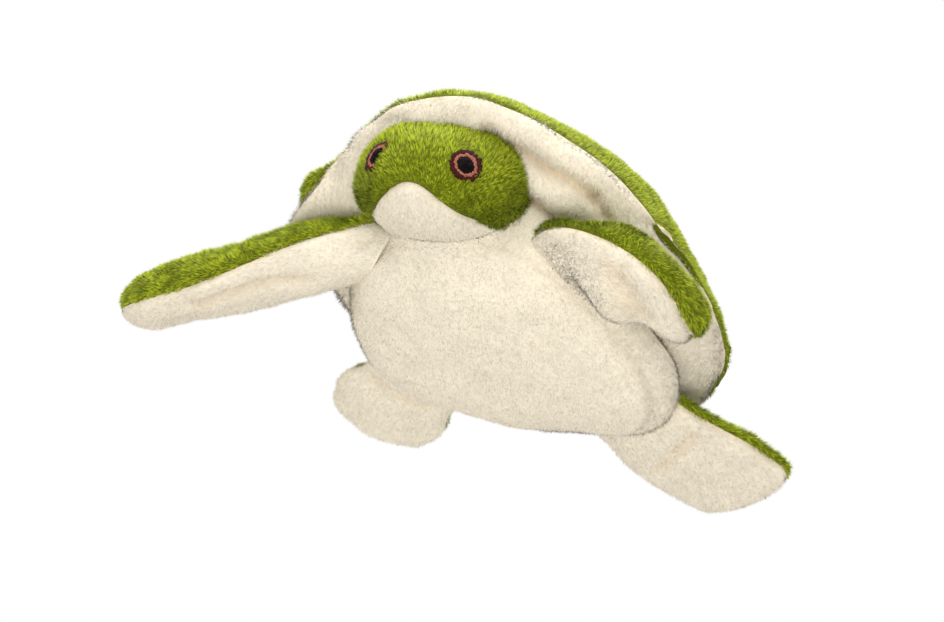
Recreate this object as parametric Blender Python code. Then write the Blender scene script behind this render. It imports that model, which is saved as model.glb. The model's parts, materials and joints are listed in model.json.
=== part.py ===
"""Plush turtle, lying on its belly: head towards -Y, its own left towards +X, up is +Z.

Every plush panel is a thin shell sewn round a core of stuffing. Panels meet at their
seams with a small gap. The head and the four flippers are round at the root and sit in
dimples of the body, so that each can turn about its sewn line.
"""
import bpy
import bmesh
import math
from mathutils import Matrix, Vector

MM = 0.001

# Fabric and fits
PLUSH_THICKNESS = 2.4 * MM
SEAM_GAP = 0.6 * MM
STUFFING_GAP = 0.7 * MM
SOCKET_GAP = 0.5 * MM
FLAT_DEPTH = 0.5 * MM

# Shell: a domed green cover over a puffy cream underside
SHELL_HALF_WIDTH = 87 * MM
SHELL_FRONT_REACH = 95 * MM
SHELL_REAR_REACH = 92 * MM
SHELL_TOP = 95 * MM
EDGE_HEIGHT = 40 * MM
EDGE_FRONT_LIFT = 22 * MM
UNDERSIDE_DROP = 15 * MM
UNDERSIDE_PUFF = 3.5 * MM

EGG_SHARE = 0.06
DOME_FULLNESS = 2.4
DOME_SHOULDER = 0.9
FRONT_LIFT_FALLOFF = 5

# Body under the shell, whose waist is drawn in further at the front and rear
WAIST_SHARE = 0.75
WAIST_FRONT_TUCK_SHARE = 0.05
WAIST_FRONT_FALLOFF = 1.5
WAIST_REAR_TUCK_SHARE = 0.06
WAIST_REAR_FALLOFF = 3
BODY_SWELL = 1.5 * MM
BODY_SQUARENESS = 0.75
SIDE_PANEL_SHARE = 0.3
SEAM_REACH_SHARE = 0.03
MITRE_LIMIT = 1.6

# Head, pitched down about the neck's cross line and turned a little to its own left
NECK_PLACE = Vector((-4.5 * MM, -68 * MM, 39 * MM))
HEAD_HALF_WIDTH = 33 * MM
HEAD_RADIUS = 23.5 * MM
SNOUT_REACH = 11 * MM
HEAD_PITCH_DEG = 38.5
HEAD_TURN_DEG = 6
SNOUT_SPREAD_DEG = 68
SNOUT_NARROWING = 1.5
HEAD_FULLNESS = 2.2
MUZZLE_TOP = 1 * MM
MUZZLE_ARCH = 9 * MM
MUZZLE_ARCH_SHARE = 0.6
MUZZLE_FALL_DEG = 16

# Embroidered eyes
EYE_SIDE_SHARE = 0.53
EYE_HEIGHT = 8.6 * MM
EYE_DIAMETER = 12 * MM
IRIS_DIAMETER = 9 * MM
PUPIL_DIAMETER = 6.4 * MM
THREAD_THICKNESS = 0.7 * MM
THREAD_GAP = 0.3 * MM

# Flippers: half sizes across them at the root and at their fullest
FRONT_ROOT_HALF_CHORD = 23 * MM
FRONT_HALF_CHORD = 22 * MM
FRONT_ROOT_HALF_THICKNESS = 8 * MM
FRONT_HALF_THICKNESS = 12.5 * MM
REAR_ROOT_HALF_CHORD = 22 * MM
REAR_HALF_CHORD = 26 * MM
REAR_ROOT_HALF_THICKNESS = 7 * MM
REAR_HALF_THICKNESS = 9 * MM
ROOT_TUCK = 12 * MM
SWELL_SHARE = 0.4
TAPER_START_SHARE = 0.45
TAPER_SHARE = 0.22
TAPER_EASE = 1.5
TIP_START_SHARE = 0.8
TIP_END_SHARE = 0.02
TIP_THICKNESS_EASE = 0.8
TIP_CROWDING_SHARE = 0.35
TWIST_SHARE = 0.7
BEND_SHARE = 0.5

# Where each flipper is sewn on, round the body from the head, and how far it then reaches:
# first to its bend, then to its tip, measured from its root. The tip line crosses the
# flipper at its tip, towards the trailing edge.
FRONT_RIGHT_SEAT_DEG = -52
FRONT_RIGHT_BEND = Vector((-58.5 * MM, 9 * MM, -6.5 * MM))
FRONT_RIGHT_TIP = Vector((-118 * MM, 35 * MM, -8.5 * MM))
FRONT_RIGHT_TIP_LINE_SHARES = (-0.21, 0.78, 0.6)
FRONT_LEFT_SEAT_DEG = 53
FRONT_LEFT_BEND = Vector((36 * MM, -33 * MM, -4.5 * MM))
FRONT_LEFT_TIP = Vector((44.5 * MM, 14.5 * MM, -18 * MM))
FRONT_LEFT_TIP_LINE_SHARES = (-0.16, 0.97, 0.18)
REAR_RIGHT_SEAT_DEG = -126
REAR_RIGHT_BEND = Vector((-18 * MM, 14.5 * MM, -1 * MM))
REAR_RIGHT_TIP = Vector((-24.5 * MM, 28 * MM, -1 * MM))
REAR_RIGHT_TIP_LINE_SHARES = (0.84, 0.54, -0.09)
REAR_LEFT_SEAT_DEG = 135.5
REAR_LEFT_BEND = Vector((15.5 * MM, 25 * MM, -7.5 * MM))
REAR_LEFT_TIP = Vector((38.5 * MM, 52 * MM, -1 * MM))
REAR_LEFT_TIP_LINE_SHARES = (-0.87, 0.44, -0.21)
SEAT_STAGE_SHARE = 0.12
ROOT_LINE_REACH_SHARE = 0.12

# How far the joints go, in degrees
FRONT_RAISE_DEG = 12
FRONT_LOWER_DEG = 25
REAR_RAISE_DEG = 12
REAR_LOWER_DEG = 14

# Mesh fineness, in counts
AROUND_COUNT = 36
DOME_ROW_COUNT = 8
UNDERSIDE_ROW_COUNT = 4
SIDE_ROW_COUNT = 3
BELLY_ROW_COUNT = 7
HEAD_ROW_COUNT = 14
HEAD_AROUND_COUNT = 28
FLIPPER_ROW_COUNT = 11
FLIPPER_ACROSS_COUNT = 6
ENVELOPE_ROW_COUNT = 24
HEAD_CORE_ROW_COUNT = 10
HEAD_CORE_AROUND_COUNT = 20
MUZZLE_STEP_COUNT = 16
EYE_AROUND_COUNT = 24
HALVING_COUNT = 40
SHARP_DEG = 40

GREEN = (0.21, 0.27, 0.035, 1)
CREAM = (0.86, 0.79, 0.66, 1)
STUFFING_WHITE = (0.9, 0.9, 0.88, 1)
MAROON = (0.10, 0.02, 0.02, 1)
SALMON = (0.62, 0.25, 0.18, 1)
BLACK = (0.008, 0.006, 0.006, 1)


def finish(name, colour, roughness):
    made = bpy.data.materials.new(name)
    made.use_nodes = True
    shader = made.node_tree.nodes["Principled BSDF"]
    shader.inputs["Base Color"].default_value = colour
    shader.inputs["Roughness"].default_value = roughness
    shader.inputs["Metallic"].default_value = 0
    return made


def new_object(name, mesh, colour, origin=None, roughness=0.95):
    """Make one node; its origin goes to the joint line that it turns about."""
    if origin is not None:
        mesh.transform(Matrix.Translation(-origin))
    mesh.materials.append(finish(name + "_plush", colour, roughness))
    mesh.shade_smooth()
    mesh.set_sharp_from_angle(angle=math.radians(SHARP_DEG))
    made = bpy.data.objects.new(name, mesh)
    if origin is not None:
        made.location = origin
    bpy.context.collection.objects.link(made)
    return made


def closed_mesh(name, work):
    """Turn the faces outwards and hand the skin over as a mesh."""
    bmesh.ops.recalc_face_normals(work, faces=work.faces)
    if work.calc_volume(signed=True) < 0:
        bmesh.ops.reverse_faces(work, faces=work.faces)
    mesh = bpy.data.meshes.new(name)
    work.to_mesh(mesh)
    work.free()
    return mesh


def strip_mesh(name, rows, joined_ends=False):
    """Join rows of points, each row a ring, into one closed skin. A row of 1 is a pole."""
    work = bmesh.new()
    lines = [[work.verts.new(point) for point in row] for row in rows]
    pairs = list(zip(lines, lines[1:]))
    if joined_ends:
        pairs.append((lines[-1], lines[0]))
    for first, second in pairs:
        count = max(len(first), len(second))
        for i in range(count):
            corners = []
            for line, step in ((first, i), (first, i + 1), (second, i + 1), (second, i)):
                corner = line[step % len(line)]
                if corner not in corners:
                    corners.append(corner)
            work.faces.new(corners)
    return closed_mesh(name, work)


def cutter(name, mesh):
    made = bpy.data.objects.new(name, mesh)
    made.hide_render = True
    made.display_type = "WIRE"
    bpy.context.collection.objects.link(made)
    return made


def boolean(target, tool, operation):
    step = target.modifiers.new(tool.name, "BOOLEAN")
    step.object = tool
    step.operation = operation
    step.solver = "EXACT"


def ease(share):
    """0 to 1, starting and ending gently."""
    share = min(1, max(0, share))
    return share * share * (3 - 2 * share)


def bulk(share, fullness):
    """How full a swelling form still is at this share of its half length."""
    return max(0, 1 - abs(share) ** fullness) ** (1 / fullness)


def turned_cutter(name, centre, along, half_length, radius, fullness):
    """A round cutter whose long axis is the joint line it leaves room for."""
    side = along.orthogonal().normalized()
    other = along.cross(side)
    rows = [[centre - along * half_length]]
    for i in range(1, HEAD_ROW_COUNT):
        share = -math.cos(math.pi * i / HEAD_ROW_COUNT)
        middle = centre + along * half_length * share
        reach = radius * bulk(share, fullness)
        rows.append([middle + side * reach * math.cos(t) + other * reach * math.sin(t)
                     for t in (2 * math.pi * j / HEAD_AROUND_COUNT for j in range(HEAD_AROUND_COUNT))])
    rows.append([centre + along * half_length])
    return cutter(name, strip_mesh(name, rows))


# The torso's outline at one angle round it, from the top of the dome to the belly's middle.
# Stage 0 to 1 is the dome, 1 to 2 the shell's underside, 2 to 3 the body down to the belly.

def front_share(angle):
    return (1 + math.cos(angle)) / 2


def edge_place(angle):
    """The edge seam from above: an oval, a little narrower in front than behind."""
    reach = SHELL_FRONT_REACH if math.cos(angle) > 0 else SHELL_REAR_REACH
    width = SHELL_HALF_WIDTH * (1 - EGG_SHARE * math.cos(angle))
    return Vector((width * math.sin(angle), -reach * math.cos(angle), 0))


def edge_height(angle):
    return EDGE_HEIGHT + EDGE_FRONT_LIFT * front_share(angle) ** FRONT_LIFT_FALLOFF


def outline(angle, stage):
    edge = edge_place(angle).length
    edge_z = edge_height(angle)
    tuck = (WAIST_FRONT_TUCK_SHARE * front_share(angle) ** WAIST_FRONT_FALLOFF
            + WAIST_REAR_TUCK_SHARE * (1 - front_share(angle)) ** WAIST_REAR_FALLOFF)
    waist = edge * (WAIST_SHARE - tuck)
    waist_z = edge_z - UNDERSIDE_DROP
    if stage <= 1:
        rise = max(0, 1 - max(0, stage) ** DOME_FULLNESS) ** DOME_SHOULDER
        return edge * stage, edge_z + (SHELL_TOP - edge_z) * rise
    if stage <= 2:
        share = stage - 1
        puff = UNDERSIDE_PUFF * math.sin(math.pi * share)
        slope = math.atan2(UNDERSIDE_DROP, edge - waist)
        return (edge + (waist - edge) * share + puff * math.sin(slope),
                edge_z + (waist_z - edge_z) * share - puff * math.cos(slope))
    turn = min(1, stage - 2) * math.pi / 2
    across = waist * max(0, math.cos(turn)) ** BODY_SQUARENESS + BODY_SWELL * math.sin(2 * turn)
    height = waist_z - (waist_z + FLAT_DEPTH) * math.sin(turn) ** BODY_SQUARENESS
    return across, height


def torso_point(angle, stage, depth):
    """A point of the torso's skin, moved inwards by depth, square to the outline.

    Near an edge seam it moves along the seam's own mitre, so that both panels stay apart.
    """
    seam = round(stage)
    is_near_seam = 0 < seam < 3 and abs(stage - seam) < SEAM_REACH_SHARE
    centre = seam if is_near_seam else stage
    before = Vector(outline(angle, max(0, centre - SEAM_REACH_SHARE)))
    middle = Vector(outline(angle, centre))
    after = Vector(outline(angle, min(3, centre + SEAM_REACH_SHARE)))
    runs = [(b - a).normalized() for a, b in ((before, middle), (middle, after)) if a != b]
    along = sum(runs, Vector((0, 0))).normalized()
    mitre = min(MITRE_LIMIT, 1 / along.dot(runs[0]))
    here = Vector(outline(angle, stage))
    across = here.x + depth * mitre * along.y
    height = max(here.y - depth * mitre * along.x, depth)
    return edge_place(angle).normalized() * max(0, across) + Vector((0, 0, height))


def torso_ring(stage, depth, count):
    if stage in (0, 3):
        return [Vector((0, 0, torso_point(0, stage, depth).z))]
    return [torso_point(2 * math.pi * i / count, stage, depth) for i in range(count)]


def stages(first, last, count, trim=0):
    """Evenly spaced stages; trim draws in an end that stops at a seam."""
    low = first + (trim if first > 0 else 0)
    high = last - (trim if last < 3 else 0)
    return [low + (high - low) * i / count for i in range(count + 1)]


def torso_panel(name, first, last, rows, colour):
    """One sewn panel of the torso: its outer rows, then its inner rows on the way back."""
    trim = SEAM_GAP / (2 * (SHELL_HALF_WIDTH if first == 0 else UNDERSIDE_DROP))
    steps = stages(first, last, rows, trim)
    if last == 3:
        steps.reverse()
    outer = [torso_ring(stage, 0, AROUND_COUNT) for stage in steps]
    inner = [torso_ring(stage, PLUSH_THICKNESS, AROUND_COUNT) for stage in reversed(steps)]
    is_ring = first > 0 and last < 3
    return new_object(name, strip_mesh(name, outer + inner, joined_ends=is_ring), colour)


def make_torso():
    depth = PLUSH_THICKNESS + STUFFING_GAP
    belly_start = 2 + SIDE_PANEL_SHARE
    core_stages = (stages(0, 1, DOME_ROW_COUNT // 2)[:-1] + stages(1, 2, UNDERSIDE_ROW_COUNT // 2)[:-1]
                   + stages(2, 3, BELLY_ROW_COUNT // 2 + 1))
    core_rows = [torso_ring(stage, depth, AROUND_COUNT) for stage in core_stages]
    core = new_object("body_stuffing", strip_mesh("body_stuffing", core_rows), STUFFING_WHITE)
    return [
        torso_panel("carapace_cover", 0, 1, DOME_ROW_COUNT, GREEN),
        torso_panel("carapace_underside", 1, 2, UNDERSIDE_ROW_COUNT, CREAM),
        torso_panel("body_side_panel", 2, belly_start, SIDE_ROW_COUNT, CREAM),
        torso_panel("belly_panel", belly_start, 3, BELLY_ROW_COUNT, CREAM),
        core,
    ]


# The head is round about the neck line behind, and drawn out into a snout in front.

HEAD_SIDE = Vector((math.cos(math.radians(HEAD_TURN_DEG)), math.sin(math.radians(HEAD_TURN_DEG)), 0))
HEAD_LEVEL = Vector((HEAD_SIDE.y, -HEAD_SIDE.x, 0))
HEAD_FORWARD = (HEAD_LEVEL * math.cos(math.radians(HEAD_PITCH_DEG))
                - Vector((0, 0, math.sin(math.radians(HEAD_PITCH_DEG)))))
HEAD_UP = HEAD_FORWARD.cross(HEAD_SIDE)


def head_world(side, forward, up):
    return NECK_PLACE + HEAD_SIDE * side + HEAD_FORWARD * forward + HEAD_UP * up


def head_radius(side_share, turn):
    """Distance from the neck line at an angle above straight ahead."""
    full = bulk(side_share, HEAD_FULLNESS)
    lean = abs(turn) / math.radians(SNOUT_SPREAD_DEG)
    snout = math.cos(lean * math.pi / 2) ** 2 if lean < 1 else 0
    return HEAD_RADIUS * full + SNOUT_REACH * snout * full ** SNOUT_NARROWING


def head_solid(name, depth, rows, count):
    """The head's closed form, drawn in by depth all over."""
    width = HEAD_HALF_WIDTH - depth
    lines = [[head_world(-width, 0, 0)]]
    for i in range(1, rows):
        share = -math.cos(math.pi * i / rows)
        line = []
        for j in range(count):
            turn = 2 * math.pi * j / count
            if turn > math.pi:
                turn -= 2 * math.pi
            reach = head_radius(share, turn) * (1 - depth / HEAD_RADIUS)
            line.append(head_world(share * width, reach * math.cos(turn), reach * math.sin(turn)))
        lines.append(line)
    lines.append([head_world(width, 0, 0)])
    return strip_mesh(name, lines)


def muzzle_wedge(name, spare):
    """The arch-topped wedge that parts the cream muzzle from the green cap."""
    fall = math.radians(MUZZLE_FALL_DEG)
    length = 2 * (HEAD_RADIUS + SNOUT_REACH)
    wide = HEAD_HALF_WIDTH + HEAD_RADIUS
    rows = []
    for forward in (length, -length):
        base = (forward - HEAD_RADIUS - SNOUT_REACH) * math.tan(fall) + MUZZLE_TOP + spare
        row = []
        for i in range(MUZZLE_STEP_COUNT + 1):
            side = -wide + 2 * wide * i / MUZZLE_STEP_COUNT
            share = min(1, abs(side) / (MUZZLE_ARCH_SHARE * HEAD_HALF_WIDTH))
            drop = MUZZLE_ARCH * (1 - math.cos(math.pi * share)) / 2
            row.append(head_world(side, forward, base - drop))
        row += [head_world(wide, forward, -length), head_world(-wide, forward, -length)]
        rows.append(row)
    work = bmesh.new()
    ends = [[work.verts.new(point) for point in row] for row in rows]
    count = len(ends[0])
    for i in range(count):
        k = (i + 1) % count
        work.faces.new((ends[0][i], ends[0][k], ends[1][k], ends[1][i]))
    work.faces.new(ends[0])
    work.faces.new(list(reversed(ends[1])))
    return cutter(name, closed_mesh(name, work))


def make_head():
    counts = (HEAD_ROW_COUNT, HEAD_AROUND_COUNT)
    inside = cutter("head_inside", head_solid("head_inside", PLUSH_THICKNESS, *counts))
    cap = new_object("head_cap", head_solid("head_cap", 0, *counts), GREEN, NECK_PLACE)
    muzzle = new_object("head_muzzle", head_solid("head_muzzle", 0, *counts), CREAM, NECK_PLACE)
    boolean(cap, inside, "DIFFERENCE")
    boolean(cap, muzzle_wedge("cap_parting", SEAM_GAP), "DIFFERENCE")
    boolean(muzzle, inside, "DIFFERENCE")
    boolean(muzzle, muzzle_wedge("muzzle_parting", 0), "INTERSECT")
    core = head_solid("head_stuffing", PLUSH_THICKNESS + STUFFING_GAP, HEAD_CORE_ROW_COUNT,
                      HEAD_CORE_AROUND_COUNT)
    new_object("head_stuffing", core, STUFFING_WHITE, NECK_PLACE)


def on_head(side, up, lift):
    """The point of the head's front at this place, raised by lift along the head's own round."""
    share = side / HEAD_HALF_WIDTH
    low, high = 0, HEAD_RADIUS + 2 * SNOUT_REACH
    for _ in range(HALVING_COUNT):
        forward = (low + high) / 2
        if math.hypot(forward, up) < head_radius(share, math.atan2(up, forward)):
            low = forward
        else:
            high = forward
    place = Vector((side * (HEAD_RADIUS / HEAD_HALF_WIDTH) ** 2, forward, up))
    place.normalize()
    return head_world(side, forward, up) + (HEAD_SIDE * place.x + HEAD_FORWARD * place.y
                                            + HEAD_UP * place.z) * lift


def eye_part(name, inner, outer, colour, centre_side):
    """A stitched disc or ring that follows the head's round."""
    under, over = [on_head(centre_side, EYE_HEIGHT, lift) for lift in (0, THREAD_THICKNESS)]
    normal = (over - under).normalized()
    across = HEAD_UP.cross(normal).normalized()
    above = normal.cross(across)

    def ring(radius, lift):
        line = []
        for i in range(EYE_AROUND_COUNT):
            turn = 2 * math.pi * i / EYE_AROUND_COUNT
            offset = across * radius * math.cos(turn) + above * radius * math.sin(turn)
            side = centre_side + offset.dot(HEAD_SIDE)
            line.append(on_head(side, EYE_HEIGHT + offset.dot(HEAD_UP), lift))
        return line

    low, high = THREAD_GAP, THREAD_GAP + THREAD_THICKNESS
    if inner == 0:
        rows = [[on_head(centre_side, EYE_HEIGHT, low)], ring(outer, low), ring(outer, high),
                [on_head(centre_side, EYE_HEIGHT, high)]]
        mesh = strip_mesh(name, rows)
    else:
        rows = [ring(inner, low), ring(outer, low), ring(outer, high), ring(inner, high)]
        mesh = strip_mesh(name, rows, joined_ends=True)
    new_object(name, mesh, colour, NECK_PLACE, roughness=0.5)


def make_eyes():
    for side_name, sign in (("left", 1), ("right", -1)):
        place = sign * EYE_SIDE_SHARE * HEAD_HALF_WIDTH
        eye_part(side_name + "_eye_pupil", 0, PUPIL_DIAMETER / 2, BLACK, place)
        eye_part(side_name + "_eye_iris", PUPIL_DIAMETER / 2 + THREAD_GAP,
                 IRIS_DIAMETER / 2, SALMON, place)
        eye_part(side_name + "_eye_ring", IRIS_DIAMETER / 2 + THREAD_GAP,
                 EYE_DIAMETER / 2, MAROON, place)


class Flipper:
    """A padded flipper along a bent middle line, cut square to the body where it is sewn on."""

    def __init__(self, name, seat_deg, reaches, tip_line, half_chords, half_thicks, swings):
        self.name = name
        seat = math.radians(seat_deg)
        stage = 2 + SEAT_STAGE_SHARE
        self.root = torso_point(seat, stage, 0)
        self.bend, self.tip = self.root + reaches[0], self.root + reaches[1]
        ahead = torso_point(seat * (1 + ROOT_LINE_REACH_SHARE), stage, 0)
        self.root_line = (ahead - self.root).normalized()
        self.tip_line = Vector(tip_line).normalized()
        self.half_chords = half_chords
        self.half_thicks = half_thicks
        self.swings = swings
        self.length = (self.bend - self.root).length + (self.tip - self.bend).length

    def middle(self, t):
        """The middle line: straight inside the body, then one smooth curve to the tip."""
        if t < 0:
            return self.root + (self.bend - self.root).normalized() * t * self.length
        first = self.root.lerp(self.bend, BEND_SHARE)
        second = self.tip.lerp(self.bend, BEND_SHARE)
        return (self.root * (1 - t) ** 3 + first * 3 * t * (1 - t) ** 2
                + second * 3 * t ** 2 * (1 - t) + self.tip * t ** 3)

    def frame(self, t):
        """Chord line, towards the trailing edge, and the line square to the flipper's top."""
        t = max(0, t)
        along = (self.bend - self.root).lerp(self.tip - self.bend, ease(t)).normalized()
        chord = self.root_line.lerp(self.tip_line, ease(t / TWIST_SHARE)).normalized()
        top = along.cross(chord).normalized()
        return chord, top if top.z > 0 else -top

    def sizes(self, t, depth):
        """Half chord and half thickness: swelling from the root, drawn in round the tip."""
        swell = ease(t / SWELL_SHARE)
        past_start = max(0, (t - TAPER_START_SHARE) / (1 - TAPER_START_SHARE))
        taper = 1 - TAPER_SHARE * past_start ** TAPER_EASE
        past_tip = max(0, (t - TIP_START_SHARE) / (1 - TIP_START_SHARE))
        tip = math.sqrt(max(TIP_END_SHARE, 1 - past_tip ** 2))
        chord = self.half_chords[0] + (self.half_chords[1] - self.half_chords[0]) * swell
        thick = self.half_thicks[0] + (self.half_thicks[1] - self.half_thicks[0]) * swell
        return chord * taper * tip - depth, thick * taper * tip ** TIP_THICKNESS_EASE - depth

    def point(self, t, turn, depth, lift=0):
        chord_line, top = self.frame(t)
        chord, thick = self.sizes(t, depth)
        return (self.middle(t) - chord_line * chord * math.cos(turn)
                + top * (thick * math.sin(turn) + lift))

    def places(self, depth):
        """Steps along the middle line, from inside the body to just short of the tip."""
        shares = [i / FLIPPER_ROW_COUNT for i in range(FLIPPER_ROW_COUNT + 1)]
        last = 1 - depth / self.length
        return [-ROOT_TUCK / self.length] + [
            last * share * (1 + TIP_CROWDING_SHARE * (1 - share)) for share in shares]

    def panel(self, name, upper, colour):
        """Upper or lower panel: a grid outside, a grid inside and a wall round the edge."""
        start = 0 if upper else math.pi
        turns = [start + math.pi * j / FLIPPER_ACROSS_COUNT for j in range(FLIPPER_ACROSS_COUNT + 1)]
        lift = (SEAM_GAP if upper else -SEAM_GAP) / 2
        outer, inner = [[[self.point(t, turn, depth, lift) for turn in turns]
                         for t in self.places(depth)]
                        for depth in (0, PLUSH_THICKNESS)]
        return new_object(name, grid_shell(name, outer, inner), colour, self.root)

    def core(self, name):
        depth = PLUSH_THICKNESS + STUFFING_GAP
        turns = [math.pi * j / FLIPPER_ACROSS_COUNT for j in range(2 * FLIPPER_ACROSS_COUNT)]
        places = self.places(PLUSH_THICKNESS)[:-1]
        rows = [[self.point(t, turn, depth) for turn in turns] for t in places]
        rows = [[self.middle(places[0])]] + rows + [[self.middle(places[-1])]]
        return new_object(name, strip_mesh(name, rows), STUFFING_WHITE, self.root)

    def trim(self, pieces, spaces):
        """Cut the root along body and head, as they lie at rest and at both ends of the swing."""
        for degrees in (0,) + self.swings:
            turn = Matrix.Rotation(math.radians(-degrees), 4, self.root_line)
            for space in spaces:
                tool = cutter(self.name + "_trim", space)
                tool.matrix_world = (Matrix.Translation(self.root) @ turn
                                     @ Matrix.Translation(-self.root))
                for piece in pieces:
                    boolean(piece, tool, "DIFFERENCE")


def grid_shell(name, outer, inner):
    work = bmesh.new()
    sheets = [[[work.verts.new(point) for point in row] for row in rows] for rows in (outer, inner)]
    high, wide = len(outer), len(outer[0])
    for rows in sheets:
        for i in range(high - 1):
            for j in range(wide - 1):
                work.faces.new((rows[i][j], rows[i][j + 1], rows[i + 1][j + 1], rows[i + 1][j]))
    rim = ([(0, j) for j in range(wide)] + [(i, wide - 1) for i in range(1, high)]
           + [(high - 1, j) for j in range(wide - 2, -1, -1)] + [(i, 0) for i in range(high - 2, 0, -1)])
    for (a, b), (c, d) in zip(rim, rim[1:] + rim[:1]):
        work.faces.new((sheets[0][a][b], sheets[0][c][d], sheets[1][c][d], sheets[1][a][b]))
    return closed_mesh(name, work)


def flippers():
    front = ((FRONT_ROOT_HALF_CHORD, FRONT_HALF_CHORD),
             (FRONT_ROOT_HALF_THICKNESS, FRONT_HALF_THICKNESS))
    rear = ((REAR_ROOT_HALF_CHORD, REAR_HALF_CHORD),
            (REAR_ROOT_HALF_THICKNESS, REAR_HALF_THICKNESS))
    return [
        Flipper("front_right_flipper", FRONT_RIGHT_SEAT_DEG, (FRONT_RIGHT_BEND, FRONT_RIGHT_TIP),
                FRONT_RIGHT_TIP_LINE_SHARES, *front, (FRONT_RAISE_DEG, -FRONT_LOWER_DEG)),
        Flipper("front_left_flipper", FRONT_LEFT_SEAT_DEG, (FRONT_LEFT_BEND, FRONT_LEFT_TIP),
                FRONT_LEFT_TIP_LINE_SHARES, *front, (-FRONT_RAISE_DEG, FRONT_LOWER_DEG)),
        Flipper("rear_right_flipper", REAR_RIGHT_SEAT_DEG, (REAR_RIGHT_BEND, REAR_RIGHT_TIP),
                REAR_RIGHT_TIP_LINE_SHARES, *rear, (REAR_RAISE_DEG, -REAR_LOWER_DEG)),
        Flipper("rear_left_flipper", REAR_LEFT_SEAT_DEG, (REAR_LEFT_BEND, REAR_LEFT_TIP),
                REAR_LEFT_TIP_LINE_SHARES, *rear, (-REAR_RAISE_DEG, REAR_LOWER_DEG)),
    ]


def main():
    for old in list(bpy.data.objects):
        bpy.data.objects.remove(old)
    torso = make_torso()
    make_head()
    make_eyes()
    socket = turned_cutter("neck_socket", NECK_PLACE, HEAD_SIDE, HEAD_HALF_WIDTH + SOCKET_GAP,
                           HEAD_RADIUS + SOCKET_GAP, HEAD_FULLNESS)
    for piece in torso[1:]:
        boolean(piece, socket, "DIFFERENCE")
    rows = [torso_ring(stage, -SOCKET_GAP, AROUND_COUNT)
            for stage in stages(0, 3, ENVELOPE_ROW_COUNT)]
    spaces = [strip_mesh("body_space", rows)]
    head_space = turned_cutter("head_space", NECK_PLACE, HEAD_SIDE, HEAD_HALF_WIDTH + SOCKET_GAP,
                               HEAD_RADIUS + SNOUT_REACH + SOCKET_GAP, HEAD_FULLNESS)
    spaces.append(head_space.data)
    for flipper in flippers():
        flipper.trim([
            flipper.panel(flipper.name + "_top", True, GREEN),
            flipper.panel(flipper.name + "_underside", False, CREAM),
            flipper.core(flipper.name + "_stuffing"),
        ], spaces)


main()
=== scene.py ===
"""Looks for the plush turtle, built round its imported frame.

It lies on its belly, head towards -Y, its own left towards +X. Every sewn panel is a padded
skin through a grid of points, with a pile of short fibres planted over it. Lengths are metres.
"""
import bpy
import json
import math
import numpy as np
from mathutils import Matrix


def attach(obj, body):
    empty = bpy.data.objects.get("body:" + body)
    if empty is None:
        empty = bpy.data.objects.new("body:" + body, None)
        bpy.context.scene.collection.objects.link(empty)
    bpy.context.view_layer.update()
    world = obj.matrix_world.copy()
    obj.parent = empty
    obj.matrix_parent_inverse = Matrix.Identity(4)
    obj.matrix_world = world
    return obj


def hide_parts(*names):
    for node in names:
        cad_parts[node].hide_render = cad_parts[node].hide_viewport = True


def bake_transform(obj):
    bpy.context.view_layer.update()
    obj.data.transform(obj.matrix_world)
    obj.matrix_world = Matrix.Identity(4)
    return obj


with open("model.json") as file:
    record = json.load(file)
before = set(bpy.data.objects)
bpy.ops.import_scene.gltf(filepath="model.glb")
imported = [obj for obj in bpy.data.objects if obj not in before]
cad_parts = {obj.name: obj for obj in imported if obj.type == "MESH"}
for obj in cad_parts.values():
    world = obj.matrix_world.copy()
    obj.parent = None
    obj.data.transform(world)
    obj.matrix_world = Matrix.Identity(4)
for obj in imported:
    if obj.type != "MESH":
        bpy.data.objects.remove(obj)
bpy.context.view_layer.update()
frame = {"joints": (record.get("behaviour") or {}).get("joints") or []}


# Head: a green plush cap and a cream plush muzzle, sewn together round a ball of stuffing on
# the curve that arches over the snout. The ball sits on a short neck under the shell's front
# edge, nods down and looks a little to its own left. The pile is brushed back from the snout.

neck = np.array([-0.0045, -0.068, 0.039])
head_turn, head_pitch = math.radians(6), math.radians(38.5)
head_half_width, head_radius, head_fullness = 0.033, 0.0235, 2.2
snout_reach, snout_spread, snout_narrowing = 0.011, math.radians(68), 2.4
brow_height, brow_turn, brow_spread, brow_share = 0.0020, 0.42, 0.40, 0.36
muzzle_reach, muzzle_top, muzzle_fall = 0.0345, 0.001, math.radians(16)
muzzle_arch, arch_share = 0.008, 0.6
head_side = np.array([math.cos(head_turn), math.sin(head_turn), 0])
head_level = np.array([math.sin(head_turn), -math.cos(head_turn), 0])
head_forward = head_level * math.cos(head_pitch) - np.array([0, 0, math.sin(head_pitch)])
head_up = np.cross(head_forward, head_side)


def head_reach(share, turn):
    """The head's radius from the neck line, at a share of its half width."""
    full = np.clip(1 - np.abs(share) ** head_fullness, 0, 1) ** (1 / head_fullness)
    lean = np.abs(turn) / snout_spread
    snout = np.where(lean < 1, np.cos(np.minimum(lean, 1) * math.pi / 2) ** 2, 0)
    brow = np.exp(-((turn - brow_turn) / brow_spread) ** 2 - (share / brow_share) ** 2)
    return head_radius * full + snout_reach * snout * full ** snout_narrowing + brow_height * brow


def head_point(share, turn):
    reach = head_reach(share, turn)
    return (neck + (np.cos(turn) * reach)[..., None] * head_forward
            + (np.sin(turn) * reach)[..., None] * head_up
            + (share * head_half_width * np.ones_like(turn))[..., None] * head_side)


def ease(share):
    """A share from 0 to 1 that starts and ends softly."""
    share = np.clip(share, 0, 1)
    return share * share * (3 - 2 * share)


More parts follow.
